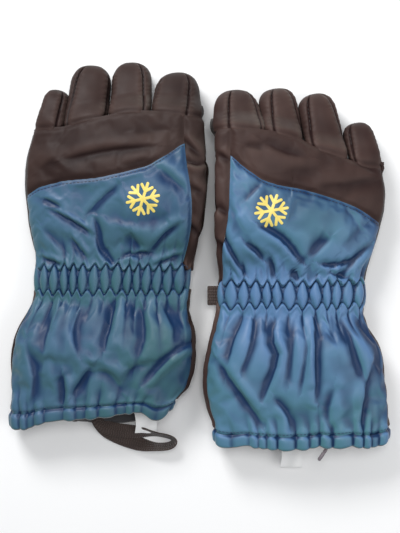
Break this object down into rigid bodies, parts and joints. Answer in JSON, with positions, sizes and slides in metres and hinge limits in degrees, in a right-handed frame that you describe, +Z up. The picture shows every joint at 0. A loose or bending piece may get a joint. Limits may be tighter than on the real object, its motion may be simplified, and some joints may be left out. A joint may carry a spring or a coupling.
{
  "type": "pair of insulated gauntlet gloves",
  "caption": "Two thick padded gloves with dark fingers, blue backs, gathered elastic wrists and wide gauntlet cuffs, lying palm down.",
  "frame": {"origin": "middle of the pair's footprint, on the surface it lies on", "axes": "+X across the pair from the left glove to the right glove, +Y from the cuffs towards the fingertips, +Z up from the palms to the backs"},
  "size_m": [0.3028, 0.3268, 0.0486],
  "materials": {
    "blue_nylon": "satin woven nylon, petrol blue",
    "dark_nylon": "matt woven nylon, brown black",
    "grip": "grained synthetic leather, black",
    "wadding": "polyester wadding",
    "fleece": "brushed fleece",
    "elastic": "covered elastic",
    "webbing": "ribbed polyester webbing",
    "label": "white woven ribbon",
    "pull": "moulded plastic, grey"
  },
  "bodies": {
    "left_hand": {"left_knuckle_panel": "dark_nylon", "left_back_panel": "blue_nylon", "left_palm_panel": "grip", "left_side_gusset": "dark_nylon", "left_hand_wadding": "wadding", "left_hand_lining": "fleece", "left_wrist_sleeve": "blue_nylon", "left_wrist_elastic": "elastic"},
    "left_little": {"left_little_back": "dark_nylon", "left_little_palm": "grip", "left_little_lining": "fleece"},
    "left_ring": {"left_ring_back": "dark_nylon", "left_ring_palm": "grip", "left_ring_lining": "fleece"},
    "left_middle": {"left_middle_back": "dark_nylon", "left_middle_palm": "grip", "left_middle_lining": "fleece"},
    "left_index": {"left_index_back": "dark_nylon", "left_index_palm": "grip", "left_index_lining": "fleece"},
    "left_thumb": {"left_thumb_shell": "dark_nylon", "left_thumb_lining": "fleece"},
    "left_cuff": {"left_cuff_back": "blue_nylon", "left_cuff_palm": "dark_nylon", "left_cuff_lining": "fleece", "left_hem_band": "blue_nylon", "left_hem_cord": "elastic"},
    "left_label": {"left_care_label": "label"},
    "right_hand": {"right_knuckle_panel": "dark_nylon", "right_back_panel": "blue_nylon", "right_palm_panel": "grip", "right_side_gusset": "dark_nylon", "right_hand_wadding": "wadding", "right_hand_lining": "fleece", "right_wrist_sleeve": "blue_nylon", "right_wrist_elastic": "elastic"},
    "right_little": {"right_little_back": "dark_nylon", "right_little_palm": "grip", "right_little_lining": "fleece"},
    "right_ring": {"right_ring_back": "dark_nylon", "right_ring_palm": "grip", "right_ring_lining": "fleece"},
    "right_middle": {"right_middle_back": "dark_nylon", "right_middle_palm": "grip", "right_middle_lining": "fleece"},
    "right_index": {"right_index_back": "dark_nylon", "right_index_palm": "grip", "right_index_lining": "fleece"},
    "right_thumb": {"right_thumb_shell": "dark_nylon", "right_thumb_lining": "fleece"},
    "right_cuff": {"right_cuff_back": "blue_nylon", "right_cuff_palm": "dark_nylon", "right_cuff_lining": "fleece", "right_hem_band": "blue_nylon", "right_hem_cord": "elastic"},
    "right_label": {"right_care_label": "label"},
    "left_loop": {"left_hang_loop": "webbing"},
    "right_tab": {"right_wrist_tab": "webbing"},
    "right_pull": {"right_cord_pull": "pull"}
  },
  "joints": [
    {"name": "left_little_flex", "type": "hinge", "parent": "left_hand", "child": "left_little", "pos_m": [-0.11913, 0.1121, 0.01494], "axis": [-0.9756, 0.2194, 0], "range_deg": [0, 60]},
    {"name": "left_ring_flex", "type": "hinge", "parent": "left_hand", "child": "left_ring", "pos_m": [-0.08943, 0.1176, 0.01605], "axis": [-0.9961, 0.0887, 0], "range_deg": [0, 60]},
    {"name": "left_middle_flex", "type": "hinge", "parent": "left_hand", "child": "left_middle", "pos_m": [-0.05533, 0.1226, 0.01718], "axis": [-0.9992, 0.0392, 0], "range_deg": [0, 60]},
    {"name": "left_index_flex", "type": "hinge", "parent": "left_hand", "child": "left_index", "pos_m": [-0.01813, 0.1201, 0.01957], "axis": [-0.9996, 0.0283, 0], "range_deg": [0, 60]},
    {"name": "left_thumb_open", "type": "hinge", "parent": "left_hand", "child": "left_thumb", "pos_m": [-0.01153, 0.0246, 0.0091], "axis": [-0.995, 0.0995, 0], "range_deg": [0, 60]},
    {"name": "left_wrist_flex", "type": "hinge", "parent": "left_hand", "child": "left_cuff", "pos_m": [-0.07123, -0.0254, 0.01624], "axis": [-1, 0, 0], "range_deg": [-20, 20], "deforming": ["left_wrist_sleeve"]},
    {"name": "left_label_flap", "type": "hinge", "parent": "left_cuff", "child": "left_label", "pos_m": [-0.04353, -0.1189, 0.0104], "axis": [-1, 0, 0], "range_deg": [0, 60]},
    {"name": "right_little_flex", "type": "hinge", "parent": "right_hand", "child": "right_little", "pos_m": [0.13197, 0.0861, 0.01624], "axis": [-0.9758, -0.2187, 0], "range_deg": [0, 60]},
    {"name": "right_ring_flex", "type": "hinge", "parent": "right_hand", "child": "right_ring", "pos_m": [0.09987, 0.0971, 0.01702], "axis": [-0.9788, -0.2048, 0], "range_deg": [0, 60]},
    {"name": "right_middle_flex", "type": "hinge", "parent": "right_hand", "child": "right_middle", "pos_m": [0.06617, 0.1066, 0.01741], "axis": [-0.9901, -0.1403, 0], "range_deg": [0, 60]},
    {"name": "right_index_flex", "type": "hinge", "parent": "right_hand", "child": "right_index", "pos_m": [0.03087, 0.1096, 0.0187], "axis": [-0.9945, -0.105, 0], "range_deg": [0, 60]},
    {"name": "right_thumb_open", "type": "hinge", "parent": "right_hand", "child": "right_thumb", "pos_m": [0.02897, 0.0156, 0.0091], "axis": [-0.9985, -0.0555, 0], "range_deg": [0, 60]},
    {"name": "right_wrist_flex", "type": "hinge", "parent": "right_hand", "child": "right_cuff", "pos_m": [0.07304, -0.0354, 0.0162], "axis": [-1, 0, 0], "range_deg": [-20, 20], "deforming": ["right_wrist_sleeve"]},
    {"name": "right_label_flap", "type": "hinge", "parent": "right_cuff", "child": "right_label", "pos_m": [0.07447, -0.1394, 0.0104], "axis": [-1, 0, 0], "range_deg": [-20, 60]},
    {"name": "left_loop_lift", "type": "hinge", "parent": "left_cuff", "child": "left_loop", "pos_m": [-0.08353, -0.1234, 0.0025], "axis": [-1, 0, 0], "range_deg": [0, 60]},
    {"name": "right_tab_swing", "type": "hinge", "parent": "right_hand", "child": "right_tab", "pos_m": [0.01767, -0.0244, 0.0135], "axis": [0, 1, 0], "range_deg": [-30, 30], "stiffness_Nm_per_rad": 0.003},
    {"name": "right_pull_slide", "type": "slide", "parent": "right_cuff", "child": "right_pull", "axis": [-0.5708, -0.8211, 0], "range_m": [0, 0.015]},
    {"name": "right_glove_lift", "type": "slide", "parent": "left_hand", "child": "right_hand", "axis": [0, 0, 1], "range_m": [0, 0.2]}
  ],
  "couplings": [
    {"joint": "left_label_flap", "follows": "left_loop_lift", "ratio": 1}
  ]
}
